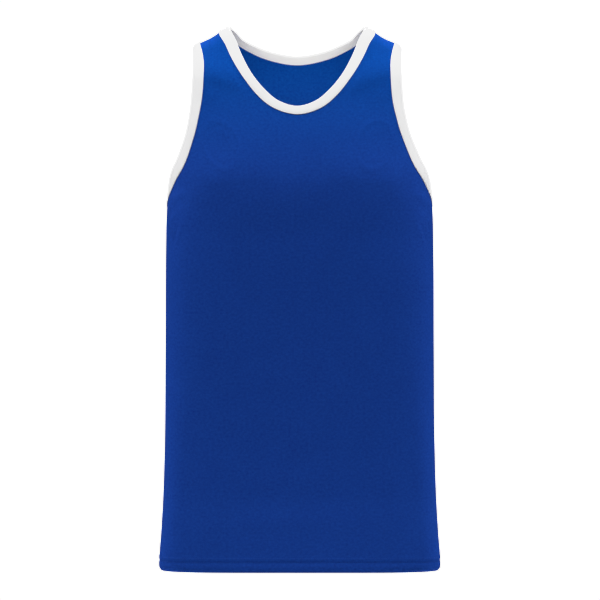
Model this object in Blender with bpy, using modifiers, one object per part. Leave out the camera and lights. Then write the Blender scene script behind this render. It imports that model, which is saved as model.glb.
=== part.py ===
# Sleeveless basketball jersey, filled out as if worn and open right through.
# Metres, +Z up, the front faces -Y.  The origin lies midway between the two
# straps, at the height where they rest on the shoulders.
#
# The cloth is described as a maker cuts it.  A place on a panel has two measures:
# "down", the run of cloth from the shoulder seam towards the hem (negative on the
# front, positive on the back), and "across", the run of cloth from the centre line
# towards the side seam.  formPoint() folds that flat cut into its worn shape.

import bpy
import bmesh
import numpy as np
from mathutils.geometry import delaunay_2d_cdt

# ---------------------------------------------------------------- driving sizes
CLOTH_THICKNESS = 0.0010        # wall of the knitted body
HEM_DEPTH = 0.0200              # turned-up hem, two layers of cloth
HEM_STEP = 0.0010               # run of cloth in which the wall doubles
SEAM_GAP = 0.0003               # left between two pieces that meet
NECK_BINDING = 0.0132           # width of the folded binding round the neck
ARMHOLE_BINDING = 0.0155        # width of the folded binding round an armhole
BINDING_LAYER = 0.0010          # each of a binding's two layers
CHEST_ROW = 0.0210              # cloth between two rows of faces on the chest
BODY_ROW = 0.0420               # the same further down, where the cloth hangs straight
CHEST_RUN = 0.3000              # run of cloth from the shoulder seam to the chest's end
HEM_ROWS = 4                    # rows of the panels that shape the hem
STATION_SPACING = 0.0130        # binding between two of its sections
SEAM_COLUMN = 0.0035            # narrow strip of faces beside a seam

# Shares of the way from centre line to side seam at which columns of faces stand,
# closer together where the cloth bends round to the side.
COLUMNS = (0.0, 0.09, 0.18, 0.27, 0.36, 0.44, 0.51, 0.57, 0.62, 0.67, 0.72, 0.78, 0.85, 0.92)

BLUE = (0.0055, 0.0520, 0.3200)
WHITE = (0.8200, 0.8250, 0.8350)

# Shape of the middle of the garment seen from the side, from the front hem over
# the shoulder to the back hem.  "slope" is the share of the shoulder slope that
# the cloth takes on at that height.
SIDE_VIEW = (
    # forward/back, height,  slope
    (-0.1200, -0.7586,  0.00),      # front hem
    (-0.1190, -0.6900,  0.00),
    (-0.1180, -0.5500,  0.00),
    (-0.1190, -0.4000,  0.00),
    (-0.1205, -0.2900,  0.00),
    (-0.1195, -0.2100,  0.00),      # fullest at the chest
    (-0.1060, -0.1500, -0.04),
    (-0.0890, -0.1000, -0.10),      # neck edge
    (-0.0740, -0.0600, -0.12),      # bend at the collar bones
    (-0.0510, -0.0180,  0.35),
    (-0.0270,  0.0160,  0.85),
    (0.0000,   0.0284,  1.00),      # shoulder seam
    (0.0320,   0.0130,  0.90),
    (0.0600,  -0.0230,  0.60),      # back neck edge
    (0.0860,  -0.0850,  0.25),
    (0.1060,  -0.1550,  0.05),      # shoulder blades
    (0.1130,  -0.2400,  0.00),
    (0.1120,  -0.4000,  0.00),
    (0.1130,  -0.6000,  0.00),
    (0.1140,  -0.7586,  0.00),      # back hem
)

# Level rings through the garment, top to bottom.  "squareness" is the power of
# the rounded outline: 2 is an ellipse, more is boxier.
RINGS = (
    # height, half width, squareness
    (0.0300,  0.1850, 2.4),         # shoulders
    (-0.1000, 0.1860, 2.6),
    (-0.1700, 0.1880, 2.9),
    (-0.2320, 0.1905, 3.4),         # under the arms
    (-0.3000, 0.1922, 4.0),
    (-0.4500, 0.1926, 4.8),
    (-0.5850, 0.1933, 5.6),
    (-0.6650, 0.1955, 6.4),
    (-0.7100, 0.1982, 7.0),
    (-0.7450, 0.2015, 7.6),
    (-0.7586, 0.2026, 8.0),         # hem
)

# The neck opening, from the centre front over the shoulder seam to the centre
# back, and the armhole, from the shoulder seam to the side seam.
NECK_LINE = (
    # across,  down
    (0.0000, -0.1668),              # centre front
    (0.0115, -0.1650),
    (0.0222, -0.1608),
    (0.0354, -0.1517),
    (0.0524, -0.1333),
    (0.0653, -0.1141),
    (0.0755, -0.0926),
    (0.0828, -0.0687),
    (0.0873, -0.0453),
    (0.0965, 0.0000),               # shoulder seam
    (0.0841, 0.0398),
    (0.0683, 0.0552),
    (0.0538, 0.0637),
    (0.0393, 0.0712),
    (0.0248, 0.0774),
    (0.0112, 0.0804),
    (0.0000, 0.0811),               # centre back
)
ARMHOLE_FRONT = (
    # across,  down
    (0.1485, 0.0000),               # shoulder seam
    (0.1496, -0.0757),
    (0.1502, -0.1172),
    (0.1513, -0.1551),
    (0.1548, -0.1728),
    (0.1588, -0.1903),
    (0.1645, -0.2076),
    (0.1711, -0.2246),
    (0.1809, -0.2415),
    (0.1966, -0.2580),
    (0.2180, -0.2755),
    (0.2400, -0.2888),
    (0.2560, -0.2938),
)
ARMHOLE_BACK = (
    # across,  down
    (0.1485, 0.0000),               # shoulder seam
    (0.1465, 0.0500),
    (0.1460, 0.1000),
    (0.1490, 0.1450),
    (0.1565, 0.1850),
    (0.1700, 0.2200),
    (0.1920, 0.2520),
    (0.2120, 0.2725),
    (0.2320, 0.2868),
    (0.2480, 0.2928),
)
ARMHOLE_BOTTOM = -0.2270            # height of the armhole at the side seam

# Slope of the shoulders: level by the neck, then straight, then steeper at the tip.
SHOULDER_SLOPE = 0.60
SLOPE_START = 0.082
SLOPE_ROUNDING = 0.030
TIP_START = 0.1315
TIP_CURVE = 21.0

# A binding's section.  The panel's raw edge lies inside the fold.  Its places are
# told by how far they lie from the folded edge, as rows numbered below, and by how
# far out from the outer face of the panel.
FOLD, TURN, TOP_TURN, LINING, RAW_EDGE, MIDDLE, STITCHED, STRIP = range(8)
FOLD_ROUNDING = 0.0004
MIDDLE_SHARE = 0.55
STRIP_MARGIN = 0.0009               # panel faces follow the binding this far past it
LAYER_TOP = SEAM_GAP + BINDING_LAYER
LINING_TOP = -CLOTH_THICKNESS - SEAM_GAP
LINING_BOTTOM = LINING_TOP - BINDING_LAYER
BINDING_SECTION = (
    # row, out from the panel
    (FOLD,     LINING_BOTTOM + 2 * FOLD_ROUNDING),
    (FOLD,     LAYER_TOP - 2 * FOLD_ROUNDING),
    (TURN,     LAYER_TOP - FOLD_ROUNDING / 2),
    (TOP_TURN, LAYER_TOP),
    (MIDDLE,   LAYER_TOP),
    (STITCHED, LAYER_TOP),
    (STITCHED, SEAM_GAP),
    (MIDDLE,   SEAM_GAP),
    (LINING,   SEAM_GAP),
    (LINING,   LINING_TOP),
    (MIDDLE,   LINING_TOP),
    (STITCHED, LINING_TOP),
    (STITCHED, LINING_BOTTOM),
    (MIDDLE,   LINING_BOTTOM),
    (TOP_TURN, LINING_BOTTOM),
    (TURN,     LINING_BOTTOM + FOLD_ROUNDING / 2),
)

SAMPLES_ALONG = 4000                # fine steps used to measure the side view
SAMPLES_ROUND = 181                 # fine steps used to measure a quarter ring
SMALL_RUN = 0.0005                  # step for slopes and normals


# ---------------------------------------------------------------- curves
def smoothCurve(knots, values, at):
    """Smooth curve through the rows of a table, read at the places `at`."""
    knots = np.asarray(knots, float)
    values = np.asarray(values, float).reshape(len(knots), -1)
    gap = np.diff(knots)[:, None]
    rise = np.diff(values, axis=0) / gap
    slope = np.empty_like(values)
    slope[0] = rise[0]
    slope[-1] = rise[-1]
    slope[1:-1] = (rise[:-1] * gap[1:] + rise[1:] * gap[:-1]) / (gap[:-1] + gap[1:])
    at = np.atleast_1d(at)
    i = np.clip(np.searchsorted(knots, at) - 1, 0, len(knots) - 2)
    t = ((at - knots[i]) / gap[i, 0])[:, None]
    start = (2 * t ** 3 - 3 * t ** 2 + 1) * values[i] + (t ** 3 - 2 * t ** 2 + t) * gap[i] * slope[i]
    end = (3 * t ** 2 - 2 * t ** 3) * values[i + 1] + (t ** 3 - t ** 2) * gap[i] * slope[i + 1]
    return start + end


def runAlong(points):
    """Distance along a row of points, starting at 0."""
    steps = np.linalg.norm(np.diff(points, axis=0), axis=1)
    return np.concatenate([[0.0], np.cumsum(steps)])


def measureSideView():
    """The side view as fine steps: run of cloth from the shoulder seam, and rows."""
    rows = np.array(SIDE_VIEW)
    knots = runAlong(rows[:, :2])
    fine = smoothCurve(knots, rows, np.linspace(0.0, knots[-1], SAMPLES_ALONG))
    run = runAlong(fine[:, :2])
    return run - run[np.argmax(fine[:, 1])], fine


SIDE_RUN, SIDE_ROWS = measureSideView()
RING_ROWS = np.array(RINGS)[::-1]
QUARTER = np.linspace(0.0, np.pi / 2, SAMPLES_ROUND)
HEM_FRONT = SIDE_RUN[0]
HEM_BACK = SIDE_RUN[-1]


# ---------------------------------------------------------------- worn form
def quarterRings(down):
    """For each run `down`: middle height, slope share, and a quarter ring there."""
    middle = [np.interp(down, SIDE_RUN, SIDE_ROWS[:, k]) for k in range(3)]
    level = np.clip(middle[1], RING_ROWS[0, 0], RING_ROWS[-1, 0])
    halfWidth, squareness = smoothCurve(RING_ROWS[:, 0], RING_ROWS[:, 1:], level).T
    power = 2.0 / squareness[:, None]
    ringX = halfWidth[:, None] * np.sin(QUARTER) ** power
    ringY = middle[0][:, None] * np.clip(np.cos(QUARTER), 0.0, 1.0) ** power
    steps = np.hypot(np.diff(ringX, axis=1), np.diff(ringY, axis=1))
    around = np.concatenate([np.zeros((len(steps), 1)), np.cumsum(steps, axis=1)], axis=1)
    return middle[1], middle[2], ringX, ringY, around


def sideSeam(down):
    """Run of cloth across, from the centre line to the side seam."""
    return quarterRings(np.atleast_1d(down))[4][:, -1]


def shoulderDrop(x):
    """How far the shoulder slope has fallen at half width x."""
    past = x - SLOPE_START
    straight = 0.5 * SHOULDER_SLOPE * (past + np.sqrt(past ** 2 + SLOPE_ROUNDING ** 2))
    return straight + TIP_CURVE * np.clip(x - TIP_START, 0.0, None) ** 2


def formPoint(cut):
    """Places (across, down) of the flat cut, folded into the worn shape."""
    cut = np.atleast_2d(cut)
    height, share, ringX, ringY, around = quarterRings(cut[:, 1])
    x = np.array([np.interp(a, g, r) for a, g, r in zip(cut[:, 0], around, ringX)])
    y = np.array([np.interp(a, g, r) for a, g, r in zip(cut[:, 0], around, ringY)])
    return np.stack([x, y, height - shoulderDrop(x) * share], axis=1)


def formSlopes(cut):
    """Directions on the worn cloth for a small run across and a small run down."""
    inside = cut.copy()
    inside[:, 0] = np.clip(cut[:, 0], SMALL_RUN, sideSeam(cut[:, 1]) - 2 * SMALL_RUN)
    inside[:, 1] = np.clip(cut[:, 1], HEM_FRONT + SMALL_RUN, HEM_BACK - SMALL_RUN)
    slopes = []
    for step in ((SMALL_RUN, 0.0), (0.0, SMALL_RUN)):
        ahead = formPoint(inside + step)
        behind = formPoint(inside - step)
        slopes.append((ahead - behind) / (2 * SMALL_RUN))
    return slopes


def formNormal(cut):
    """Outward direction of the worn cloth."""
    across, down = formSlopes(cut)
    normal = np.cross(across, down)
    return normal / np.linalg.norm(normal, axis=1)[:, None]


def liftedPoint(cut, lift):
    """Worn place, moved out from the outer face of the cloth by `lift`."""
    return formPoint(cut) + lift * formNormal(cut)


# ---------------------------------------------------------------- edges of the cut
def edgeStations(rows, seams):
    """Even steps of worn cloth along a smooth line through the table's rows.

    `seams` names the ends, "first" or "last", that lie on a seam: each gets one
    more station close by, so that the wall stands square to the seam.
    """
    rows = np.array(rows)
    knots = runAlong(rows)
    line = smoothCurve(knots, rows, np.linspace(0.0, knots[-1], SAMPLES_ROUND))
    run = runAlong(formPoint(line))
    wanted = np.linspace(0.0, run[-1], round(run[-1] / STATION_SPACING) + 1)
    if "first" in seams:
        wanted = np.insert(wanted, 1, SEAM_COLUMN)
    if "last" in seams:
        wanted = np.insert(wanted, -1, run[-1] - SEAM_COLUMN)
    return np.stack([np.interp(wanted, run, line[:, k]) for k in range(2)], axis=1)


def seamBottom(sign):
    """Where the side seam meets the armhole, on the front (-1) or the back (1)."""
    onSide = np.sign(SIDE_RUN) == sign
    heights = SIDE_ROWS[onSide, 1]
    runs = SIDE_RUN[onSide]
    order = np.argsort(heights)
    down = np.interp(ARMHOLE_BOTTOM, heights[order], runs[order])
    return sideSeam(down)[0], down


def insetDistances(width):
    """How far each numbered row of a binding this wide lies from its folded edge."""
    return (0.0, FOLD_ROUNDING, 2 * FOLD_ROUNDING, BINDING_LAYER, BINDING_LAYER + SEAM_GAP,
            width * MIDDLE_SHARE, width, width + STRIP_MARGIN)


def insetLines(edge, width, inward, start, end):
    """The edge's stations, moved into the cloth to each row of a binding.

    `inward` is 1 or -1, the side on which the cloth lies.  The first and last
    stations keep to the line they stand on: "centre", "shoulder" or "side".
    """
    worn = formPoint(edge)
    along = np.gradient(worn, axis=0)
    heading = inward * np.cross(formNormal(edge), along)
    heading /= np.linalg.norm(heading, axis=1)[:, None]
    lines = [edge]
    place = edge
    distances = insetDistances(width)
    for before, after in zip(distances, distances[1:]):
        across, down = formSlopes(place)
        aa = (across * across).sum(axis=1)
        ad = (across * down).sum(axis=1)
        dd = (down * down).sum(axis=1)
        ha = (heading * across).sum(axis=1)
        hd = (heading * down).sum(axis=1)
        spread = aa * dd - ad ** 2
        move = np.stack([(ha * dd - hd * ad) / spread, (hd * aa - ha * ad) / spread], axis=1)
        for station, line in ((0, start), (-1, end)):
            free = {"centre": (0.0, 1.0), "side": (0.0, 1.0), "shoulder": (1.0, 0.0)}[line]
            size = (aa if line == "shoulder" else dd)[station] ** 0.5
            move[station] = np.sign(move[station]) * free / size
        place = place + move * (after - before)
        for station, line in ((0, start), (-1, end)):
            if line == "side":
                place[station, 0] = sideSeam(place[station, 1])[0]
        lines.append(place)
    return lines


def cutLines():
    """Every bound edge of the left half, as station rows at each inset."""
    neck = np.array(NECK_LINE)
    seam = int(np.argmin(np.abs(neck[:, 1])))
    armFront = list(ARMHOLE_FRONT) + [seamBottom(-1)]
    armBack = list(ARMHOLE_BACK) + [seamBottom(1)]
    neckFront = edgeStations(neck[:seam + 1], ["last"])
    neckBack = edgeStations(neck[seam:][::-1], ["last"])
    armFront = edgeStations(armFront, ["first", "last"])
    armBack = edgeStations(armBack, ["first", "last"])
    return {
        ("neck", -1): insetLines(neckFront, NECK_BINDING, -1, "centre", "shoulder"),
        ("neck", 1): insetLines(neckBack, NECK_BINDING, 1, "centre", "shoulder"),
        ("arm", -1): insetLines(armFront, ARMHOLE_BINDING, -1, "shoulder", "side"),
        ("arm", 1): insetLines(armBack, ARMHOLE_BINDING, 1, "shoulder", "side"),
    }


# ---------------------------------------------------------------- panels
def panelRows(sign):
    """Runs `down` at which the cloth has a row of faces, from the hem up."""
    hem = abs(HEM_FRONT if sign < 0 else HEM_BACK)
    foldTop = hem - HEM_DEPTH
    bodyRows = np.linspace(foldTop, CHEST_RUN, round((foldTop - CHEST_RUN) / BODY_ROW) + 1)
    chestRows = np.linspace(CHEST_RUN, SEAM_COLUMN, round(CHEST_RUN / CHEST_ROW) + 1)
    hemRows = [hem, hem - HEM_DEPTH * 0.35, foldTop, foldTop - HEM_STEP]
    return sign * np.concatenate([hemRows, bodyRows[1:], chestRows[1:]])


def columnPlaces(down):
    """Places across one row, with one more just before the side seam."""
    width = sideSeam(down)[0] - SEAM_GAP / 2
    return np.append(np.array(COLUMNS) * width, [width - SEAM_COLUMN, width])


def settleEnds(line, sign):
    """A bound edge's row of stations, drawn back from the seams by half the gap."""
    line = line.copy()
    for station in (0, -1):
        if abs(line[station, 1]) < SEAM_COLUMN and line[station, 0] > SEAM_COLUMN:
            line[station, 1] = sign * SEAM_GAP / 2
        elif abs(line[station, 0] - sideSeam(line[station, 1])[0]) < SEAM_GAP:
            line[station, 0] -= SEAM_GAP / 2
    return line


def panelOutline(neck, arm, sign):
    """Closed outline of the half panel inside its bound strips, as (across, down)."""
    rows = panelRows(sign)
    shoulder = np.linspace(neck[-1], arm[0], 3)[1:-1]
    below = arm[-1, 1]
    sideRows = [d for d in rows if abs(d) > abs(below) + CHEST_ROW / 2]
    side = np.array([(columnPlaces(d)[-1], d) for d in reversed(sideRows)])
    hem = np.array([(a, rows[0]) for a in columnPlaces(rows[0])[::-1][1:]])
    centreRows = [d for d in rows[1:] if abs(d) > abs(neck[0, 1]) + CHEST_ROW / 2]
    centre = np.array([(0.0, d) for d in centreRows])
    return np.concatenate([neck, shoulder, arm, side, hem, centre])


def insideOutline(place, outline):
    """True where a place lies inside the closed outline."""
    ahead = np.roll(outline, -1, axis=0)
    crosses = (outline[:, 1] > place[1]) != (ahead[:, 1] > place[1])
    with np.errstate(divide="ignore", invalid="ignore"):
        where = outline[:, 0] + (place[1] - outline[:, 1]) * (ahead[:, 0] - outline[:, 0]) / (
            ahead[:, 1] - outline[:, 1])
    return (crosses & (place[0] < where)).sum() % 2 == 1


def clearOfEdge(place, outline, clearance):
    """True where a place is further than `clearance` from every side of the outline."""
    ahead = np.roll(outline, -1, axis=0) - outline
    share = ((place - outline) * ahead).sum(axis=1) / np.maximum((ahead ** 2).sum(axis=1), 1e-12)
    nearest = outline + np.clip(share, 0.0, 1.0)[:, None] * ahead
    return np.linalg.norm(nearest - place, axis=1).min() > clearance


def panelPlaces(outline, sign):
    """The outline's corners, then the places inside it where rows and columns cross."""
    places = list(outline)
    rows = panelRows(sign)
    for down in rows[1:]:
        across = columnPlaces(down)[1:-1]
        for place in np.stack([across, np.full_like(across, down)], axis=1):
            byHem = down in rows[:HEM_ROWS]
            bySeam = down == rows[-1] or place[0] == across[-1]
            clearance = HEM_STEP / 2 if byHem else SEAM_COLUMN * 0.8 if bySeam else CHEST_ROW * 0.36
            if insideOutline(place, outline) and clearOfEdge(place, outline, clearance):
                places.append(place)
    return places


def fillPanel(outline, sign):
    """Triangles over the half panel inside its bound strips, in the flat cut."""
    places = panelPlaces(outline, sign)
    count = len(outline)
    sides = [(k, (k + 1) % count) for k in range(count)]
    flat, _, faces, _, _, _ = delaunay_2d_cdt([tuple(p) for p in places], sides, [], 1, 1e-7)
    return np.array([tuple(p) for p in flat]), faces


def addFaces(mesh, places, faces):
    """Adds worn faces to the mesh, turned so that each looks out of the garment."""
    corners = formPoint(places)
    outward = formNormal(places)
    made = [mesh.verts.new(corner) for corner in corners]
    for face in faces:
        a, b, c = (corners[k] for k in face)
        facing = np.dot(np.cross(b - a, c - a), outward[face[0]])
        order = face if facing > 0 else face[::-1]
        mesh.faces.new([made[k] for k in order])


def stripFaces(columns, rows):
    """Triangles of a strip that has `columns` stations in each of its rows."""
    faces = []
    for r in range(rows - 1):
        for k in range(columns - 1):
            near = r * columns + k
            far = near + columns
            faces += [(near, near + 1, far + 1), (near, far + 1, far)]
    return faces


def makePanel(name, sign, lines, material, collection):
    """Front (-1) or back (1) panel: half a cut, mirrored, with a cloth-thick wall."""
    mesh = bmesh.new()
    strips = {}
    for edge in ("neck", "arm"):
        rows = [settleEnds(lines[edge, sign][row], sign) for row in (RAW_EDGE, MIDDLE, STRIP)]
        strips[edge] = rows[-1]
        addFaces(mesh, np.concatenate(rows), stripFaces(len(rows[0]), len(rows)))
    outline = panelOutline(strips["neck"], strips["arm"], sign)
    addFaces(mesh, *fillPanel(outline, sign))
    bmesh.ops.remove_doubles(mesh, verts=mesh.verts, dist=1e-5)
    for vert in mesh.verts:
        if abs(vert.co.x) < 1e-5:
            vert.co.x = 0.0
    data = bpy.data.meshes.new(name)
    mesh.to_mesh(data)
    mesh.free()
    panel = addObject(name, data, material, collection)
    weights = panel.vertex_groups.new(name="layers")
    hemTop = SIDE_VIEW[0][1] + HEM_DEPTH + HEM_STEP / 2
    for vert in data.vertices:
        weights.add([vert.index], 1.0 if vert.co.z < hemTop else 0.5, "REPLACE")
    mirror = panel.modifiers.new("other half", "MIRROR")
    mirror.merge_threshold = 1e-5
    wall = panel.modifiers.new("cloth wall", "SOLIDIFY")
    wall.thickness = 2 * CLOTH_THICKNESS
    wall.offset = -1.0
    wall.vertex_group = "layers"
    return panel


# ---------------------------------------------------------------- bindings
def bindingSections(line):
    """One ring of corners for each station: the folded strip's section there."""
    corners = [liftedPoint(line[row], lift) for row, lift in BINDING_SECTION]
    return np.stack(corners, axis=1)


def loftSections(mesh, sections):
    """Joins neighbouring sections with triangles, cut on the panel's own diagonals."""
    rings = [[mesh.verts.new(corner) for corner in section] for section in sections]
    rows = [row for row, _ in BINDING_SECTION]
    for near, far in zip(rings, rings[1:]):
        for k in range(len(rows)):
            m = (k + 1) % len(rows)
            if rows[k] <= rows[m]:
                mesh.faces.new((near[k], near[m], far[m]))
                mesh.faces.new((near[k], far[m], far[k]))
            else:
                mesh.faces.new((near[k], near[m], far[k]))
                mesh.faces.new((near[m], far[m], far[k]))


def bindingMesh(name, front, back):
    """Mesh of a binding lofted along the front and the back, joined at the shoulder."""
    mesh = bmesh.new()
    loftSections(mesh, front)
    loftSections(mesh, back)
    bmesh.ops.remove_doubles(mesh, verts=mesh.verts, dist=1e-5)
    bmesh.ops.recalc_face_normals(mesh, faces=mesh.faces)
    highest = max(mesh.faces, key=lambda face: face.calc_center_median().z)
    if highest.normal.z < 0:
        bmesh.ops.reverse_faces(mesh, faces=mesh.faces)
    data = bpy.data.meshes.new(name)
    mesh.to_mesh(data)
    mesh.free()
    return data


def makeNeckBinding(name, lines, material, collection):
    """Binding round the neck: half its loop lofted, then mirrored."""
    front = bindingSections(lines["neck", -1])
    back = bindingSections(lines["neck", 1])
    back[-1] = front[-1]
    front[0, :, 0] = 0.0
    back[0, :, 0] = 0.0
    binding = addObject(name, bindingMesh(name, front, back), material, collection)
    binding.modifiers.new("other half", "MIRROR").merge_threshold = 1e-5
    return binding


def makeArmholeBinding(name, side, lines, material, collection):
    """Closed loop of binding round one armhole; side is 1 at +X and -1 at -X."""
    front = bindingSections(lines["arm", -1])
    back = bindingSections(lines["arm", 1])
    for end in (0, -1):
        back[end] = front[end]
    front[:, :, 0] *= side
    back[:, :, 0] *= side
    return addObject(name, bindingMesh(name, front, back), material, collection)


# ---------------------------------------------------------------- objects
def makeMaterial(name, colour, roughness):
    """Plain dyed cloth."""
    material = bpy.data.materials.new(name)
    material.use_nodes = True
    shader = material.node_tree.nodes["Principled BSDF"]
    shader.inputs["Base Color"].default_value = (*colour, 1.0)
    shader.inputs["Roughness"].default_value = roughness
    shader.inputs["Metallic"].default_value = 0.0
    return material


def addObject(name, data, material, collection):
    """Puts a mesh into the garment's collection as a named piece."""
    piece = bpy.data.objects.new(name, data)
    data.materials.append(material)
    collection.objects.link(piece)
    return piece


def clearScene():
    """Removes whatever the scene held before."""
    for old in list(bpy.data.objects):
        bpy.data.objects.remove(old, do_unlink=True)


def main():
    clearScene()
    collection = bpy.data.collections.new("basketball_jersey")
    bpy.context.scene.collection.children.link(collection)
    lines = cutLines()
    makePanel("front_panel", -1, lines, makeMaterial("front knit", BLUE, 0.65), collection)
    makePanel("back_panel", 1, lines, makeMaterial("back knit", BLUE, 0.65), collection)
    makeNeckBinding("neck_binding", lines, makeMaterial("neck rib", WHITE, 0.70), collection)
    for name, side in (("armhole_binding_left", 1), ("armhole_binding_right", -1)):
        makeArmholeBinding(name, side, lines, makeMaterial(name + " rib", WHITE, 0.70), collection)


main()
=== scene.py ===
import bpy
import bmesh
import math
import numpy as np
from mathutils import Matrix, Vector
from mathutils.geometry import delaunay_2d_cdt


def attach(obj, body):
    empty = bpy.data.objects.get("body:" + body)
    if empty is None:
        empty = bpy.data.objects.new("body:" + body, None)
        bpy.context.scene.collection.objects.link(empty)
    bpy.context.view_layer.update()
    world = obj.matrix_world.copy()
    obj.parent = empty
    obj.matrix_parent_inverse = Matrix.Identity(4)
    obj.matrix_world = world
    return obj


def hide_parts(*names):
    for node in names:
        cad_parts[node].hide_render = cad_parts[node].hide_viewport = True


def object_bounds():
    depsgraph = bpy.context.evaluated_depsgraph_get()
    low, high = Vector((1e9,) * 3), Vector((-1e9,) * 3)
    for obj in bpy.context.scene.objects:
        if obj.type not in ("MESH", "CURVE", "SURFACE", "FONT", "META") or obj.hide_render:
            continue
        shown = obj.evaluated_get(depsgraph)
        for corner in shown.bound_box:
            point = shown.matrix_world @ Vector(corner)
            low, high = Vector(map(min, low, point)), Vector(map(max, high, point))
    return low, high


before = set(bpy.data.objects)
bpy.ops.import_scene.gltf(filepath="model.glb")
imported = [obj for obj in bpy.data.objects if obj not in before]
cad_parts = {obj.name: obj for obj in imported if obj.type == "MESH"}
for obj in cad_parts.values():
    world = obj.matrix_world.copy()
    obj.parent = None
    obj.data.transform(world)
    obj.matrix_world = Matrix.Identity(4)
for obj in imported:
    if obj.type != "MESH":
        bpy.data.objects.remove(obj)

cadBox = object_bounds()

# Places on a panel are told as a maker cuts it: across, from the centre line towards
# a side seam, and down, from the shoulder seam to the hem (negative on the front).
front, back = -1, 1

form = {
    "sideView": (  # y, height, share of the shoulder slope: front hem, shoulder, back hem
        (-0.12, -0.76, 0.0), (-0.119, -0.69, 0.0), (-0.118, -0.55, 0.0),
        (-0.119, -0.4, 0.0), (-0.1205, -0.29, 0.0), (-0.1195, -0.21, 0.0),
        (-0.106, -0.15, -0.04), (-0.089, -0.1, -0.1), (-0.074, -0.06, -0.12),
        (-0.051, -0.018, 0.35), (-0.027, 0.016, 0.85), (0.0, 0.0284, 1.0),
        (0.032, 0.013, 0.9), (0.06, -0.023, 0.6), (0.086, -0.085, 0.25),
        (0.106, -0.155, 0.05), (0.113, -0.24, 0.0), (0.112, -0.4, 0.0),
        (0.113, -0.6, 0.0), (0.114, -0.76, 0.0)),
    "rings": (  # height, half width, squareness, hem to shoulders
        (-0.76, 0.198, 6.2), (-0.757, 0.1998, 6.6), (-0.753, 0.2002, 6.8),
        (-0.745, 0.2002, 7.0), (-0.71, 0.1978, 7.0),
        (-0.665, 0.1953, 6.4), (-0.585, 0.193, 5.6), (-0.45, 0.1922, 4.8),
        (-0.3, 0.1918, 4.0), (-0.26, 0.1912, 3.7), (-0.242, 0.1903, 3.5),
        (-0.23, 0.1889, 3.4), (-0.219, 0.1877, 3.3), (-0.205, 0.1874, 3.2),
        (-0.17, 0.1866, 2.9), (-0.1, 0.1855, 2.6), (0.03, 0.185, 2.4)),
    "slope": 0.6,  # of the shoulders
    "slopeStart": 0.082,
    "slopeRounding": 0.03,
    "shoulderRise": (  # off centre, how far the shoulder line stands above its straight slope
        (0.0, 0.0), (0.06, 0.0), (0.085, 0.0008), (0.104, 0.0022), (0.1095, 0.0022),
        (0.118, 0.0006), (0.125, 0.0001), (0.14, 0.0016), (0.16, 0.0017), (0.21, 0.0017)),
    "tipStart": 0.144,  # off centre, where the strap's outer tip starts to fall away, and where it ends
    "tipEnd": 0.15,
    "tipCurve": 150.0,
    "lean": -0.0037,  # how far the straps sit off centre, as it hangs
    "leanHeights": (-0.235, -0.085)}

edges = {
    "neck": (  # across, down: centre front, shoulder seam, centre back
        (0.0, -0.1665), (0.026, -0.1585), (0.0465, -0.1405), (0.065, -0.115),
        (0.0775, -0.086), (0.0875, -0.052), (0.0945, -0.027), (0.097, 0.0), (0.095, 0.01),
        (0.0875, 0.027), (0.0795, 0.044), (0.0575, 0.0625), (0.027, 0.0755), (0.0, 0.08)),
    "armFront": (  # across, down: shoulder seam to side seam
        (0.1495, 0.0), (0.1495, -0.06), (0.1515, -0.133), (0.157, -0.1795), (0.167, -0.2135),
        (0.176, -0.2305), (0.188, -0.2475), (0.2005, -0.258), (0.218, -0.272), (0.238, -0.286),
        (0.256, -0.293)),
    "armBack": (
        (0.1495, 0.0), (0.147, 0.05), (0.1465, 0.1), (0.1495, 0.145), (0.157, 0.185),
        (0.17, 0.22), (0.1915, 0.252), (0.211, 0.2725), (0.231, 0.2865), (0.246, 0.293)),
    "armBottom": -0.2270}

sampling = {  # how finely the form is measured
    "along": 4000,  # stations on the side view, and on a quarter ring or an edge
    "around": 181,
    "smallRun": 0.0005,
    "edge": 0.0040,  # between places on an edge that others are measured from
    "stitches": 0.0015,
    "hem": 360,  # stations along a hem's row of stitches
    "cut": 400,  # rows of the flat cut, for its area
    "onSeam": 0.0001,
    "blocks": 3}  # an edge is compared with the cloth in so many parts


def smoothCurve(knots, values, at):
    knots = np.asarray(knots, float)
    values = np.asarray(values, float).reshape(len(knots), -1)
    gap = np.diff(knots)[:, None]
    rise = np.diff(values, axis=0) / gap
    slope = np.concatenate([rise[:1], rise[:1], rise[1:]])
    slope[1:-1] = (rise[:-1] * gap[1:] + rise[1:] * gap[:-1]) / (gap[:-1] + gap[1:])
    at = np.atleast_1d(at)
    i = np.clip(np.searchsorted(knots, at) - 1, 0, len(knots) - 2)
    t = ((at - knots[i]) / gap[i, 0])[:, None]
    start = (2 * t ** 3 - 3 * t ** 2 + 1) * values[i] + (t ** 3 - 2 * t ** 2 + t) * gap[i] * slope[i]
    end = (3 * t ** 2 - 2 * t ** 3) * values[i + 1] + (t ** 3 - t ** 2) * gap[i] * slope[i + 1]
    return start + end


def runAlong(points):
    steps = np.linalg.norm(np.diff(points, axis=0), axis=1)
    return np.concatenate([[0.0], np.cumsum(steps)])


def measureSideView():
    rows = np.array(form["sideView"])
    knots = runAlong(rows[:, :2])
    fine = smoothCurve(knots, rows, np.linspace(0.0, knots[-1], sampling["along"]))
    run = runAlong(fine[:, :2])
    return run - run[np.argmax(fine[:, 1])], fine


sideRun, sideRows = measureSideView()
ringRows = np.array(form["rings"])
quarter = np.linspace(0.0, np.pi / 2, sampling["around"])
hemRun = {front: sideRun[0], back: sideRun[-1]}


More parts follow.
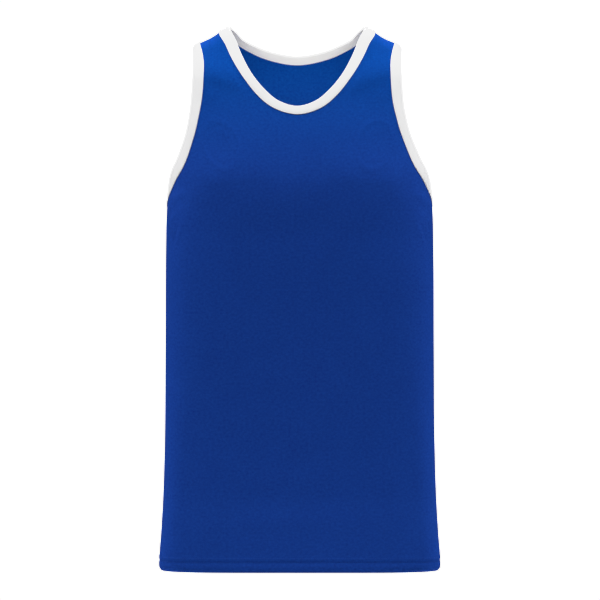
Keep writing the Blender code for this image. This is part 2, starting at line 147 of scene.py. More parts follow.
def quarterRings(down):  # height, slope share and a quarter ring for each run down
    middle = [np.interp(down, sideRun, sideRows[:, k]) for k in range(3)]
    level = np.clip(middle[1], ringRows[0, 0], ringRows[-1, 0])
    halfWidth, squareness = smoothCurve(ringRows[:, 0], ringRows[:, 1:], level).T
    power = 2.0 / squareness[:, None]
    ringX = halfWidth[:, None] * np.sin(quarter) ** power
    ringY = middle[0][:, None] * np.clip(np.cos(quarter), 0.0, 1.0) ** power
    steps = np.hypot(np.diff(ringX, axis=1), np.diff(ringY, axis=1))
    around = np.concatenate([np.zeros((len(steps), 1)), np.cumsum(steps, axis=1)], axis=1)
    return middle[1], middle[2], ringX, ringY, around


def sideSeam(down):  # run across, from the centre line to the side seam
    return quarterRings(np.atleast_1d(down))[4][:, -1]


def shoulderDrop(x):
    past = x - form["slopeStart"]
    straight = 0.5 * form["slope"] * (past + np.sqrt(past ** 2 + form["slopeRounding"] ** 2))
    rows = np.array(form["shoulderRise"])
    rise = smoothCurve(rows[:, 0], rows[:, 1], x)[:, 0]
    over = np.clip(x, form["tipStart"], form["tipEnd"]) - form["tipStart"]
    return straight - rise + form["tipCurve"] * over ** 2


def leanShare(height):  # how much of the lean a place at that height has
    low, high = form["leanHeights"]
    rise = np.clip((height - low) / (high - low), 0.0, 1.0)
    return rise * rise * (3.0 - 2.0 * rise)


def leaned(points, share):  # moved into the lean (1) or out of it (-1)
    return points + (share * form["lean"] * leanShare(points[..., 2]))[..., None] * (1.0, 0.0, 0.0)


def formPoint(cut):  # folds places of the flat cut into the worn shape
    cut = np.atleast_2d(cut)
    downs, which = np.unique(cut[:, 1], return_inverse=True)
    which = which.reshape(-1)
    height, share, ringX, ringY, around = quarterRings(downs)
    x = np.empty(len(cut))
    y = np.empty(len(cut))
    order = np.argsort(which, kind="stable")
    for k, group in enumerate(np.split(order, np.cumsum(np.bincount(which))[:-1])):
        x[group] = np.interp(np.abs(cut[group, 0]), around[k], ringX[k])
        y[group] = np.interp(np.abs(cut[group, 0]), around[k], ringY[k])
    z = height[which] - shoulderDrop(x) * share[which]
    x = x * np.where(cut[:, 0] < 0, -1.0, 1.0) + form["lean"] * leanShare(z)
    return np.stack([x, y, z], axis=1)


def formSlopes(cut):
    small = sampling["smallRun"]
    inside = cut.copy()
    inside[:, 0] = np.clip(cut[:, 0], small, sideSeam(cut[:, 1]) - 2 * small)
    inside[:, 1] = np.clip(cut[:, 1], hemRun[front] + small, hemRun[back] - small)
    steps = np.array([(small, 0.0), (0.0, small)])
    return [(formPoint(inside + step) - formPoint(inside - step)) / (2 * small) for step in steps]


def formNormal(cut):  # outward; mirrored for places right of the centre line
    half = np.stack([np.abs(cut[:, 0]), cut[:, 1]], axis=1)
    across, down = formSlopes(half)
    normal = np.cross(across, down)
    normal /= np.linalg.norm(normal, axis=1)[:, None]
    normal[:, 0] *= np.where(cut[:, 0] < 0, -1.0, 1.0)
    return normal


def liftedPoint(cut, lift):  # the same places, that far out of the form
    return formPoint(cut) + np.reshape(lift, (-1, 1)) * formNormal(cut)


creases = {  # soft ridges (+) and troughs (-), in millimetres: across, down, turn in degrees,
    # half length, width of the flank towards the shoulder, width of the flank towards the hem, height
    front: (
        (103, -127, 22, 52, 26, 11, 1.5), (-103, -127, -22, 52, 26, 11, 1.5),
        (128, -152, 14, 24, 7, 9, 0.5), (-127, -150, -17, 25, 7, 9, 0.5),
        (71, -270, -8, 46, 42, 15, 1.2), (-72, -269, 9, 45, 42, 15, 1.2),
        (122, -276, -20, 42, 36, 15, 1.3), (-123, -276, 19, 42, 36, 15, 1.3),
        (134, -330, -12, 70, 33, 90, -2.4), (-135, -329, 12, 70, 33, 90, -2.4),
        (0, -272, 89, 40, 11, 11, 0.6), (185.5, -353, -62, 26, 3.4, 3.6, -1.3),
        (-184.4, -353, 70, 26, 3.4, 3.6, -1.3), (177, -347, -60, 27, 5, 5, 0.9),
        (-176.2, -348, 66, 26, 5, 5, 0.9), (200, -334, -40, 22, 5, 5, 0.6),
        (-199, -331, 44, 20, 5, 4.5, 0.6), (186, -316, -28, 36, 6, 6, -0.6),
        (-188, -314, 30, 36, 6, 6, -0.6), (185, -300, -24, 32, 5.5, 5.5, 0.7),
        (-186, -298, 22, 30, 5.5, 5.5, 0.7), (152, -232, -60, 26, 6, 6, 0.5),
        (-154, -229, 60, 24, 5.5, 5.5, 0.5), (0, -754, 0, 175, 24, 16, 1),
        (0, -701, 0, 170, 18, 18, 0.5), (153, -715, 88, 115, 16, 16, -1.2),
        (-155, -712, -88, 118, 16, 16, -1.2), (127, -720, 89, 120, 17, 17, 1.2),
        (-128, -715, -89, 115, 17, 17, 1.2), (196, -640, 85, 120, 15, 15, 0.7),
        (-197, -650, -86, 110, 15, 15, 0.7), (0, -520, 90, 160, 50, 50, -0.8),
        (0, -722, 0, 230, 110, 50, -4)),
    back: (
        (104, 98, -14, 50, 24, 10, 1.1), (-102, 101, 16, 52, 24, 10, 1.1),
        (69, 215, -40, 60, 16, 12, 1), (-72, 210, 42, 58, 16, 12, 1),
        (118, 262, -30, 52, 18, 13, 1), (-116, 266, 33, 50, 18, 13, 1.1),
        (0, 240, 89, 110, 15, 15, -0.8), (180, 352, -62, 26, 3.4, 3.6, -1.2),
        (-179, 355, 66, 25, 3.4, 3.6, -1.2), (171, 346, -60, 28, 5.2, 5.2, 1),
        (-170, 349, 63, 27, 5.2, 5.2, 1), (182, 316, -27, 36, 6, 6, -0.7),
        (-180, 318, 30, 36, 6, 6, -0.7), (186, 299, -23, 32, 6, 6, 0.8),
        (-184, 301, 25, 32, 6, 6, 0.8), (40, 420, -80, 120, 26, 26, 1),
        (-46, 430, 82, 120, 26, 26, 1), (0, 752, 0, 170, 26, 16, 1),
        (148, 712, -88, 118, 17, 17, -1.2), (-150, 716, 88, 115, 17, 17, -1.2),
        (120, 716, -89, 118, 18, 18, 1.3), (-122, 720, 89, 120, 18, 18, 1.2),
        (0, 560, 90, 170, 45, 45, -1))}

puckers = {  # faint rounded rings raised on the chest: across, down, tilt, half width, half length
    front: ((0.1085, -0.2260, -20, 0.0255, 0.0365), (-0.1095, -0.2260, 20, 0.0255, 0.0365)),
    back: ()}
pucker = {"rings": ((1.0, 0.11, 0.00060), (0.62, 0.12, 0.00030)),  # share of the size, width, height
          "seamReach": 0.0150, "seamHeight": 0.00040,
          "seamWaves": ((0.0370, 1.0, 0.4), (0.0231, 0.7, 2.1), (0.0613, 0.9, 4.0))}  # length, share, start


def turned(cut, middle, degrees):  # how far each place lies along a line through the middle, and beside it
    across, down = (cut - middle).T
    cosine, sine = math.cos(math.radians(degrees)), math.sin(math.radians(degrees))
    return across * cosine + down * sine, across * sine - down * cosine


def creaseHeight(cut, side):
    height = np.zeros(len(cut))
    for row in creases[side]:
        across, down, halfLength, upper, lower, rise = (size / 1000 for size in row[:2] + row[3:])
        along, beside = turned(cut, (across, down), row[2])
        share = along / halfLength
        flank = np.where(side * beside > 0, beside / upper, beside / lower)  # upper is the shoulder's side
        height += rise * np.exp(-flank ** 2) * np.clip(1.0 - share ** 2, 0.0, 1.0) ** 2
    for across, down, tilt, halfWidth, halfLength in puckers[side]:
        along, beside = turned(cut, (across, down), tilt)
        radius = np.hypot(along / halfWidth, beside / halfLength)
        for share, width, rise in pucker["rings"]:
            height += rise * np.exp(-((radius - share) / width) ** 2)
    up = abs(hemRun[side]) - np.abs(cut[:, 1])  # the same on front and back, which are sewn together here
    wave = sum(share * np.sin(2 * math.pi * up / length + start)
               for length, share, start in pucker["seamWaves"])
    beside = (sideSeam(cut[:, 1]) - np.abs(cut[:, 0])) / pucker["seamReach"]
    return height + pucker["seamHeight"] * wave * np.exp(-beside ** 2)


def edgeStations(rows, spacing, fromCentre):
    rows = np.array(rows)
    if fromCentre:  # its mirrored neighbour keeps the edge level on the centre line
        rows = np.concatenate([rows[1:2] * (-1.0, 1.0), rows])
    knots = runAlong(rows)
    line = smoothCurve(knots, rows, np.linspace(knots[int(fromCentre)], knots[-1], sampling["around"]))
    run = runAlong(formPoint(line))
    wanted = np.linspace(0.0, run[-1], round(run[-1] / spacing) + 1)
    return np.stack([np.interp(wanted, run, line[:, k]) for k in range(2)], axis=1)


def seamBottom(side):  # where side seam and armhole meet
    onSide = np.sign(sideRun) == side
    heights, runs = sideRows[onSide, 1], sideRun[onSide]
    order = np.argsort(heights)
    down = np.interp(edges["armBottom"], heights[order], runs[order])
    return sideSeam(down)[0], down


swells = {  # how much wider than its own size a strip lies: down of its edge, share
    "neck": ((-0.167, 1.00), (-0.150, 1.05), (-0.120, 1.02), (-0.090, 1.14), (-0.050, 1.25), (-0.012, 1.31),
             (0.000, 1.24), (0.020, 1.02), (0.044, 0.82), (0.060, 0.89), (0.080, 1.00)),
    "arm": ((-0.295, 1.15), (-0.270, 1.46), (-0.258, 1.46), (-0.240, 1.27), (-0.216, 1.03), (-0.195, 1.00),
            (-0.150, 1.08), (-0.110, 1.01), (-0.060, 0.99), (0.000, 1.03), (0.150, 1.00), (0.294, 1.15))}


def stripSwell(edge, place):
    rows = np.array(swells[edge])
    return smoothCurve(rows[:, 0], rows[:, 1], np.clip(place[:, 1], rows[0, 0], rows[-1, 0]))[:, 0]


def dots(first, second):  # the dot product of each pair of rows
    return (first * second).sum(axis=1)


def insetLines(edge, distances, side, start, end, swell):  # the edge moved into the cloth by each distance
    along = np.gradient(formPoint(edge), axis=0)
    heading = side * np.cross(formNormal(edge), along)
    heading /= np.linalg.norm(heading, axis=1)[:, None]
    lines, place = [edge], edge
    for before, after in zip(distances, distances[1:]):
        across, down = formSlopes(place)
        wide, skew, long = dots(across, across), dots(across, down), dots(down, down)
        toSide, toHem = dots(heading, across), dots(heading, down)
        spread = wide * long - skew ** 2  # turns the heading on the form into a move on the flat cut
        move = np.stack([(toSide * long - toHem * skew) / spread,
                         (toHem * wide - toSide * skew) / spread], axis=1)
        for station, line in ((0, start), (-1, end)):  # the ends keep to their seams
            free = (1.0, 0.0) if line == "shoulder" else (0.0, 1.0)
            size = (wide if line == "shoulder" else long)[station] ** 0.5
            move[station] = np.sign(move[station]) * free / size
        place = place + move * (after - before) * swell[:, None]
        for station, line in ((0, start), (-1, end)):
            if line == "side":
                place[station, 0] = sideSeam(place[station, 1])[0]
        lines.append(place)
    return lines


def boundLines(edge, side, distances, spacing):
    if edge == "neck":
        rows = np.array(edges["neck"])
        seam = int(np.argmin(np.abs(rows[:, 1])))
        stations = edgeStations(rows[:seam + 1] if side == front else rows[seam:][::-1], spacing, True)
        return insetLines(stations, distances, side, "centre", "shoulder", stripSwell(edge, stations))
    rows = list(edges["armFront" if side == front else "armBack"]) + [seamBottom(side)]
    stations = edgeStations(rows, spacing, False)
    return insetLines(stations, distances, side, "shoulder", "side", stripSwell(edge, stations))


def newPiece(name, points, faces, material, flatCut=None):
    data = bpy.data.meshes.new(name)
    data.from_pydata([tuple(p) for p in points], [], [tuple(int(k) for k in f) for f in faces])
    data.validate()
    if flatCut is not None:  # the flat cut in metres carries the knit
        layer = data.uv_layers.new(name="cut")
        corner = np.empty(len(data.loops), dtype=np.int32)
        data.loops.foreach_get("vertex_index", corner)
        layer.data.foreach_set("uv", np.asarray(flatCut)[corner].astype(np.float32).ravel())
    data.shade_smooth()
    data.materials.append(material)
    piece = bpy.data.objects.new(name, data)
    bpy.context.scene.collection.objects.link(piece)
    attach(piece, "root")
    return piece


def turnOut(piece, side=0):  # faces point out; a panel's halves and fold, with a side, are first joined
    mesh = bmesh.new()
    mesh.from_mesh(piece.data)
    if side:
        bmesh.ops.remove_doubles(mesh, verts=mesh.verts, dist=panel["weld"])
    bmesh.ops.recalc_face_normals(mesh, faces=mesh.faces)
    if side:
        middles = {face: face.calc_center_median() for face in mesh.faces}
        probe = min(middles, key=lambda face: abs(middles[face].z - panel["waist"]) + abs(middles[face].x))
        if probe.normal.y * side < 0:
            bmesh.ops.reverse_faces(mesh, faces=mesh.faces)
    mesh.to_mesh(piece.data)
    mesh.free()


def applyModifiers(piece):
    graph = bpy.context.evaluated_depsgraph_get()
    mesh = bpy.data.meshes.new_from_object(piece.evaluated_get(graph))
    plain = piece.data
    piece.modifiers.clear()
    piece.data = mesh
    bpy.data.meshes.remove(plain)
    mesh.name = piece.name


def gridFaces(columns, rows, closedColumns=False):
    faces = []
    for r in range(rows - 1):
        for k in range(columns if closedColumns else columns - 1):
            m = (k + 1) % columns
            faces.append((r * columns + k, r * columns + m, (r + 1) * columns + m, (r + 1) * columns + k))
    return faces


def mathNode(tree, operation, a, b=None, c=None):
    node = tree.nodes.new("ShaderNodeMath")
    node.operation = operation
    for socket, value in zip(node.inputs, (a, b, c)):
        if value is None:
            continue
        if isinstance(value, (int, float)):
            socket.default_value = value
        else:
            tree.links.new(value, socket)
    return node.outputs[0]


def noiseNode(tree, vector, scale, detail, roughness):
    node = tree.nodes.new("ShaderNodeTexNoise")
    node.inputs["Scale"].default_value = scale
    node.inputs["Detail"].default_value = detail
    node.inputs["Roughness"].default_value = roughness
    tree.links.new(vector, node.inputs["Vector"])
    return node.outputs["Fac"]


def scaledVector(tree, vector, scale):
    node = tree.nodes.new("ShaderNodeMapping")
    node.inputs["Scale"].default_value = scale
    tree.links.new(vector, node.inputs["Vector"])
    return node.outputs["Vector"]


knit = {
    "lean": 0.35,  # of a stitch's legs, in rows
    "depth": 0.00012,
    "meanHeight": 0.4,  # of a stitch
    "middle": 0.5,  # the mean of each noise, and the shade before the effects
    "strapDowns": (0.10, 0.17),  # down, where the streaks fade
    "leastStreak": 0.2,  # what is left of them below
    "loopRelief": (0.35, 0.65),  # of each loop along its column: half its swing, and its mean
    "unevenness": {  # scale across and down the cut, detail, roughness
        "Streak": ((480.0, 9.0, 1.0), 2.0, 0.60),
        "Cloud": ((28.0, 22.0, 1.0), 3.0, 0.55),
        "Mottle": ((250.0, 310.0, 1.0), 2.0, 0.65)}}


def knitGroup():  # columns of V stitches, their shade, and the uneven take-up of the yarn
    group = bpy.data.node_groups.new("knitFace", "ShaderNodeTree")
    for label, kind in (("Cut", "Vector"), ("Wale", "Float"), ("Course", "Float"), ("Lean", "Float")):
        group.interface.new_socket(label, in_out="INPUT", socket_type="NodeSocket" + kind)
    for label in ("Height", "Streak", "Cloud", "Mottle"):
        group.interface.new_socket(label, in_out="OUTPUT", socket_type="NodeSocketFloat")
    source = group.nodes.new("NodeGroupInput")
    result = group.nodes.new("NodeGroupOutput")
    cut = source.outputs["Cut"]
    split = group.nodes.new("ShaderNodeSeparateXYZ")
    group.links.new(cut, split.inputs[0])
    column = mathNode(group, "DIVIDE", split.outputs["X"], source.outputs["Wale"])
    row = mathNode(group, "DIVIDE", split.outputs["Y"], source.outputs["Course"])
    within = mathNode(group, "SUBTRACT", mathNode(group, "FRACT", column), 0.5)
    leg = mathNode(group, "ABSOLUTE", within)
    ridge = mathNode(group, "SINE", mathNode(group, "MULTIPLY", leg, 2 * math.pi))
    slant = mathNode(group, "ADD", row, mathNode(group, "MULTIPLY", leg, source.outputs["Lean"]))
    loop = mathNode(group, "SINE", mathNode(group, "MULTIPLY", slant, 2 * math.pi))
    loops = mathNode(group, "MULTIPLY_ADD", loop, *knit["loopRelief"])
    group.links.new(mathNode(group, "MULTIPLY", ridge, loops), result.inputs["Height"])
    for label, (scale, detail, roughness) in knit["unevenness"].items():
        noise = noiseNode(group, scaledVector(group, cut, scale), 1.0, detail, roughness)
        group.links.new(noise, result.inputs[label])
    return group


def fadeDown(tree, cut, downs, least):  # 1 at the shoulder seam, falling to the least below
    split = tree.nodes.new("ShaderNodeSeparateXYZ")
    tree.links.new(cut, split.inputs[0])
    fade = tree.nodes.new("ShaderNodeMapRange")
    fade.interpolation_type = "SMOOTHSTEP"
    fade.inputs["From Min"].default_value, fade.inputs["From Max"].default_value = downs
    fade.inputs["To Min"].default_value = 1.0
    fade.inputs["To Max"].default_value = least
    tree.links.new(mathNode(tree, "ABSOLUTE", split.outputs["Y"]), fade.inputs["Value"])
    return fade.outputs["Result"]


def mixColour(tree, factor, first, second):
    mix = tree.nodes.new("ShaderNodeMix")
    mix.data_type = "RGBA"
    for label, colour in (("A", first), ("B", second)):
        if isinstance(colour, tuple):
            mix.inputs[label].default_value = (*colour, 1.0)
        else:
            tree.links.new(colour, mix.inputs[label])
    tree.links.new(factor, mix.inputs["Factor"])
    return mix.outputs["Result"]


def spreadColour(tree, shade, colour, spread):  # the colour made darker and lighter by the shade
    low = tuple(c * (1.0 - s) for c, s in zip(colour, spread))
    high = tuple(min(c * (1.0 + s), 1.0) for c, s in zip(colour, spread))
    return mixColour(tree, shade, low, high)


bodyLook = {
    "colour": (0.0098, 0.0520, 0.326),
    "litStrapColour": (0.0026, 0.0590, 0.330),  # painted light: the straps, where the top light falls full on them, get a purer blue with less red
    "litStrapDowns": (0.08, 0.30),  # down, where the straps' painted light starts to fade and where it ends
    "spread": (0.40, 0.48, 0.36),  # of each channel, between the darkest and the lightest yarn
    "wale": 0.00075,  # width of a column of stitches
    "course": 0.00065,  # height of a row
    "hollowShade": 0.12,  # share in the colour of the painted shade in the stitches' hollows, and of streaks, clouds and mottling
    "streak": 0.36,
    "cloud": 0.16,
    "mottle": 0.88,
    "bump": 0.55,
    "roughness": 0.75,
    "specular": 0.012}

tapeLook = {
    "colour": (0.82, 0.82, 0.825),
    "spread": (0.10, 0.10, 0.10),
    "wale": 0.00085,
    "course": 0.00075,
    "hollowShade": 0.18,
    "streak": 0.07,
    "cloud": 0.14,
    "mottle": 0.18,
    "bump": 0.50,
    "roughness": 0.80,
    "specular": 0.15}

speckle = {"scale": 900.0, "detail": 2.0, "roughness": 0.6, "spread": (0.15, 0.15, 0.15)}


def clothMaterial(name, look):
    material = bpy.data.materials.new(name)
    material.use_nodes = True
    tree = material.node_tree
    shader = tree.nodes["Principled BSDF"]
    uv = tree.nodes.new("ShaderNodeUVMap")
    uv.uv_map = "cut"
    cut = uv.outputs["UV"]
    face = tree.nodes.new("ShaderNodeGroup")
    face.node_tree = knitFace
    tree.links.new(cut, face.inputs["Cut"])
    for label, value in (("Wale", look["wale"]), ("Course", look["course"]), ("Lean", knit["lean"])):
        face.inputs[label].default_value = value
    shade = knit["middle"]
    for effect in ("Streak", "Cloud", "Mottle"):
        part = mathNode(tree, "SUBTRACT", face.outputs[effect], knit["middle"])
        if effect == "Streak":  # the columns show most over the shoulders
            fade = fadeDown(tree, cut, knit["strapDowns"], knit["leastStreak"])
            part = mathNode(tree, "MULTIPLY", part, fade)
        shade = mathNode(tree, "ADD", shade, mathNode(tree, "MULTIPLY", part, look[effect.lower()]))
    # painted shade: the yarn is darker where the stitches' relief is low, in the hollows between legs and
    # loops
    raised = mathNode(tree, "SUBTRACT", face.outputs["Height"], knit["meanHeight"])
    shade = mathNode(tree, "ADD", shade, mathNode(tree, "MULTIPLY", raised, look["hollowShade"]))
    tint = spreadColour(tree, shade, look["colour"], look["spread"])
    if "litStrapColour" in look:
        # painted light: the straps' lit blue, fading out down the front and back
        share = fadeDown(tree, cut, look["litStrapDowns"], 0.0)
        tint = mixColour(tree, share, tint, spreadColour(tree, shade, look["litStrapColour"], look["spread"]))
    tree.links.new(tint, shader.inputs["Base Color"])
    bump = tree.nodes.new("ShaderNodeBump")
    bump.inputs["Strength"].default_value = look["bump"]
    bump.inputs["Distance"].default_value = knit["depth"]
    tree.links.new(face.outputs["Height"], bump.inputs["Height"])
    tree.links.new(bump.outputs["Normal"], shader.inputs["Normal"])
    shader.inputs["Roughness"].default_value = look["roughness"]
    shader.inputs["Specular IOR Level"].default_value = look["specular"]
    return material


def plainMaterial(name, colour, roughness, specular):
    material = bpy.data.materials.new(name)
    material.use_nodes = True
    tree = material.node_tree
    shader = tree.nodes["Principled BSDF"]
    place = tree.nodes.new("ShaderNodeTexCoord")
    values = (speckle[key] for key in ("scale", "detail", "roughness"))
    noise = noiseNode(tree, place.outputs["Object"], *values)
    tree.links.new(spreadColour(tree, noise, colour, speckle["spread"]), shader.inputs["Base Color"])
    shader.inputs["Roughness"].default_value = roughness
    shader.inputs["Specular IOR Level"].default_value = specular
    return material


panel = {
    "wall": 0.0007,  # as the knit really is, thinner than the solids' wall
    "columns": 88,  # from centre line to side seam
    "row": 0.0034,
    "topRow": 0.0020,  # the last row below the shoulder seam
    "edgeStep": 0.0036,
    "shoulderSteps": 7,
    "clear": 0.0006,  # between the rows' places and the outline
    "curveClear": 0.42,  # the same beside the bindings, in rows
    "fillMerge": 1e-7,  # places of the fill nearer than this are one
    "underTape": (0.0, 0.0013, 0.0050, 0.0090, 0.0130),  # from the binding's fold into the cloth
    "creaseStart": 0.0165,  # from a binding's fold
    "creaseGrowth": 0.0110,  # the run in which they grow
    "bindingsEnd": 0.34,  # down, past which no binding is near
    "seamGap": 0.00002,
    "seamRoll": 0.0007,  # the cloth dips into its seams
    "seamReach": 0.0022,
    "hem": 0.0200,
    "hemRows": ((0.0138, 0.00065, 0.0019), (0.0198, 0.00020, 0.0010)),  # twin stitching: up, sink, reach
    "hemRowSides": 0.0009,  # rows of places beside the stitching
    "hemRowClear": 0.0012,
    "hemRidges": ((0.0178, 0.0018, 0.00030), (0.0070, 0.0045, 0.00030)),  # above the edge, reach, height
    "hemStep": 0.0003,  # from the hem's two layers to one
    "hemStepReach": 0.0012,
    "hemHeld": (5.0, 0.2),  # the side seams hold the hem flat over these reaches, but for this share
    "turnIn": 0.0009,  # second layer of the hem, inside the first
    "hemTurn": 0.00045,
    "foldStart": 0.0006,
    "foldRows": 9,
    "weld": 0.00002,
    "waist": -0.5}  # the height at which a face tells which way the panel faces


def panelDowns(side):
    hem = abs(hemRun[side])
    rows = np.linspace(hem, panel["topRow"], round(hem / panel["row"]) + 1)
    beside = panel["hemRowSides"]
    extra = [hem - up + d for up, _, _ in panel["hemRows"] for d in (-beside, 0.0, beside)]
    rows = [r for r in rows if min(abs(r - e) for e in extra) > panel["hemRowClear"] or r == hem]
    return side * np.array(sorted(rows + extra, reverse=True))


def panelAcross(down):
    return np.linspace(0.0, sideSeam(down)[0] - panel["seamGap"] / 2, panel["columns"] + 1)


def panelOutline(neck, arm, side):
    downs = panelDowns(side)
    low = panel["row"] / 2
    shoulder = np.linspace(neck[-1], arm[0], panel["shoulderSteps"])[1:-1]
    sideDowns = [d for d in downs[::-1] if abs(d) > abs(arm[-1, 1]) + low]
    seam = np.array([(panelAcross(d)[-1], d) for d in sideDowns])
    hem = np.array([(a, downs[0]) for a in panelAcross(downs[0])[::-1][1:]])
    centre = np.array([(0.0, d) for d in downs[1:] if abs(d) > abs(neck[0, 1]) + low])
    return np.concatenate([neck, shoulder, arm, seam, hem, centre])


def insideOutline(places, outline, clearance):  # inside it, and that far from every side
    tiny = 1e-12
    ahead = np.roll(outline, -1, axis=0)
    run = ahead - outline
    rise = np.where(run[:, 1] == 0, tiny, run[:, 1])
    kept = []
    for place in places:
        crosses = (outline[:, 1] > place[1]) != (ahead[:, 1] > place[1])
        where = outline[:, 0] + (place[1] - outline[:, 1]) * run[:, 0] / rise
        if (crosses & (place[0] < where)).sum() % 2 == 0:
            continue
        share = ((place - outline) * run).sum(axis=1) / np.maximum((run ** 2).sum(axis=1), tiny)
        nearest = outline + np.clip(share, 0.0, 1.0)[:, None] * run
        if np.hypot(*(nearest - place).T).min() > clearance:
            kept.append(place)
    return kept


def settleEnds(line, side):  # drawn back from the seams by half the gap
    line = line.copy()
    for station in (0, -1):
        if abs(line[station, 1]) < sampling["onSeam"]:
            line[station, 1] = side * panel["seamGap"] / 2
        elif abs(line[station, 0] - sideSeam(line[station, 1])[0]) < sampling["onSeam"]:
            line[station, 0] -= panel["seamGap"] / 2
    return line


def halfPanel(side):  # places and faces of one half, in the flat cut
    places, faces, inner = [], [], {}
    for edge in ("neck", "arm"):
        lines = boundLines(edge, side, panel["underTape"], panel["edgeStep"])[1:]
        lines = [settleEnds(line, side) for line in lines]
        base = sum(len(p) for p in places)
        faces += [tuple(k + base for k in f) for f in gridFaces(len(lines[0]), len(lines))]
        places += lines
        inner[edge] = lines[-1]
    outline = panelOutline(inner["neck"], inner["arm"], side)
    lattice = []
    for down in panelDowns(side)[1:]:
        across = panelAcross(down)[1:-1]
        lattice += list(np.stack([across, np.full_like(across, down)], axis=1))
    lattice = insideOutline(lattice, outline, panel["clear"])
    top = abs(seamBottom(side)[1]) + panel["row"]
    upper = [p for p in lattice if abs(p[1]) <= top]
    upper = insideOutline(upper, outline, panel["row"] * panel["curveClear"])
    filled = list(outline) + upper + [p for p in lattice if abs(p[1]) > top]
    rim = [(k, (k + 1) % len(outline)) for k in range(len(outline))]
    keepInside = 1  # the fill gives back the triangles inside the outline
    fill = delaunay_2d_cdt([tuple(p) for p in filled], rim, [], keepInside, panel["fillMerge"])
    flat, triangles = fill[0], fill[2]
    base = sum(len(p) for p in places)
    faces += [tuple(k + base for k in f) for f in triangles]
    places.append(np.array([tuple(p) for p in flat]))
    return np.concatenate(places), faces


def hemFold(side):  # the hem's turned-up layer, from its edge round and up inside
    hem = hemRun[side]
    rises = np.linspace(panel["foldStart"], panel["hem"], panel["foldRows"])
    turns = [(0.0, 0.0, 0.0), (0.0, -0.5, -panel["hemTurn"])] + [(rise, -1.0, 0.0) for rise in rises]
    rows, lifts, drops = [], [], []
    for rise, share, drop in turns:  # above the edge, share of the way in, and below its row
        across = panelAcross(hem - side * rise)
        across = np.concatenate([-across[:0:-1], across])
        rows.append(np.stack([across, np.full_like(across, hem - side * rise)], axis=1))
        lifts.append(np.full(len(across), share * panel["turnIn"]))
        drops.append(np.full(len(across), drop))
    faces = gridFaces(len(rows[0]), len(rows))
    return np.concatenate(rows), np.concatenate(lifts), np.concatenate(drops), faces


def panelLift(cut, side):  # small heights out of the form: creases, seam dips, stitch grooves
    lift = creaseHeight(cut, side) * edgeFade(cut, side)
    toSide = (sideSeam(cut[:, 1]) - np.abs(cut[:, 0])) / panel["seamReach"]
    toShoulder = np.abs(cut[:, 1]) / panel["seamReach"]
    lift -= panel["seamRoll"] * (np.exp(-toSide ** 2) + np.exp(-toShoulder ** 2))
    up = abs(hemRun[side]) - np.abs(cut[:, 1])
    shape = -panel["hemStep"] * np.clip((up - panel["hem"]) / panel["hemStepReach"], 0.0, 1.0)
    for row, sink, reach in panel["hemRows"]:
        shape -= sink * np.exp(-((up - row) / reach) ** 2)
    for row, reach, height in panel["hemRidges"]:
        shape += height * np.exp(-((up - row) / reach) ** 2)
    reaches, least = panel["hemHeld"]
    return lift + shape * np.clip(toSide / reaches, least, 1.0)


def edgeFade(cut, side):  # no creases under the bindings
    distance = np.full(len(cut), 1.0)
    half = np.stack([np.abs(cut[:, 0]), cut[:, 1]], axis=1)
    near = np.abs(half[:, 1]) < panel["bindingsEnd"]
    for block in np.array_split(insetEdges[side], sampling["blocks"]):
        gap = np.hypot(half[near, None, 0] - block[None, :, 0], half[near, None, 1] - block[None, :, 1])
        distance[near] = np.minimum(distance[near], gap.min(axis=1))
    share = np.clip((distance - panel["creaseStart"]) / panel["creaseGrowth"], 0.0, 1.0)
    return share * share * (3 - 2 * share)


insetEdges = {side: np.concatenate([boundLines(edge, side, (0.0,), sampling["edge"])[0]
                                    for edge in ("neck", "arm")]) for side in (front, back)}


def makePanel(name, side, material, node, sewnOn):
    half, faces = halfPanel(side)
    count = len(half)
    cut = np.concatenate([half, half * (-1.0, 1.0)])
    faces = list(faces) + [tuple(k + count for k in f) for f in faces]
    folds, foldLift, foldDrop, foldFaces = hemFold(side)
    points = liftedPoint(cut, panelLift(cut, side) - panel["wall"] / 2)
    foldPoints = liftedPoint(folds, creaseHeight(folds, side) + foldLift - panel["wall"] / 2)
    foldPoints[:, 2] += foldDrop
    base = len(points)
    faces += [tuple(k + base for k in f) for f in foldFaces]
    points = np.concatenate([points, foldPoints])
    piece = newPiece(name, points, faces, material, np.concatenate([cut, folds]))
    turnOut(piece, side)
    wall = piece.modifiers.new("knit", "SOLIDIFY")
    wall.thickness = panel["wall"]
    wall.offset = 0.0
    applyModifiers(piece)
    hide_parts(node)
    widest = 2 * sideSeam(panelDowns(side)).max()
    flatArea = cutArea(side)
    print("panel", name, len(piece.data.polygons), "faces, cut", round(flatArea, 4), "m2")
    return piece


def cutArea(side):  # area of the whole flat cut with its hem turned down
    downs = np.linspace(0.0, abs(hemRun[side]), sampling["cut"])
    neck = boundLines("neck", side, panel["underTape"][:2], sampling["edge"])[1]
    arm = boundLines("arm", side, panel["underTape"][:2], sampling["edge"])[1]
    order = np.argsort(np.abs(neck[:, 1]))
    inner = np.interp(downs, np.abs(neck[order, 1]), neck[order, 0], right=0.0)
    order = np.argsort(np.abs(arm[:, 1]))
    outer = np.where(downs < np.abs(arm[:, 1]).max(), np.interp(downs, np.abs(arm[order, 1]), arm[order, 0]),
                     sideSeam(side * downs))
    width = np.clip(outer - inner, 0.0, None)
    return 2 * (np.sum((width[1:] + width[:-1]) / 2 * np.diff(downs)) + panel["hem"] * width[-1])


tape = {
    "neck": 0.0132,
    "arm": 0.0155,
    "step": 0.0040,
    "crown": 0.00078,  # outer face above the panel
    "roll": 0.0043,  # the free edge rolls in over this run, to a faint line
    "rollSink": 0.00016,
    "liningDepth": 0.0011,  # inner face below the panel's
    "groove": 0.0016,  # stitching from the tape's inner edge
    "grooveSink": 0.00022,
    "measured": 4}  # the point of its section, on the outer face, along which its length is taken


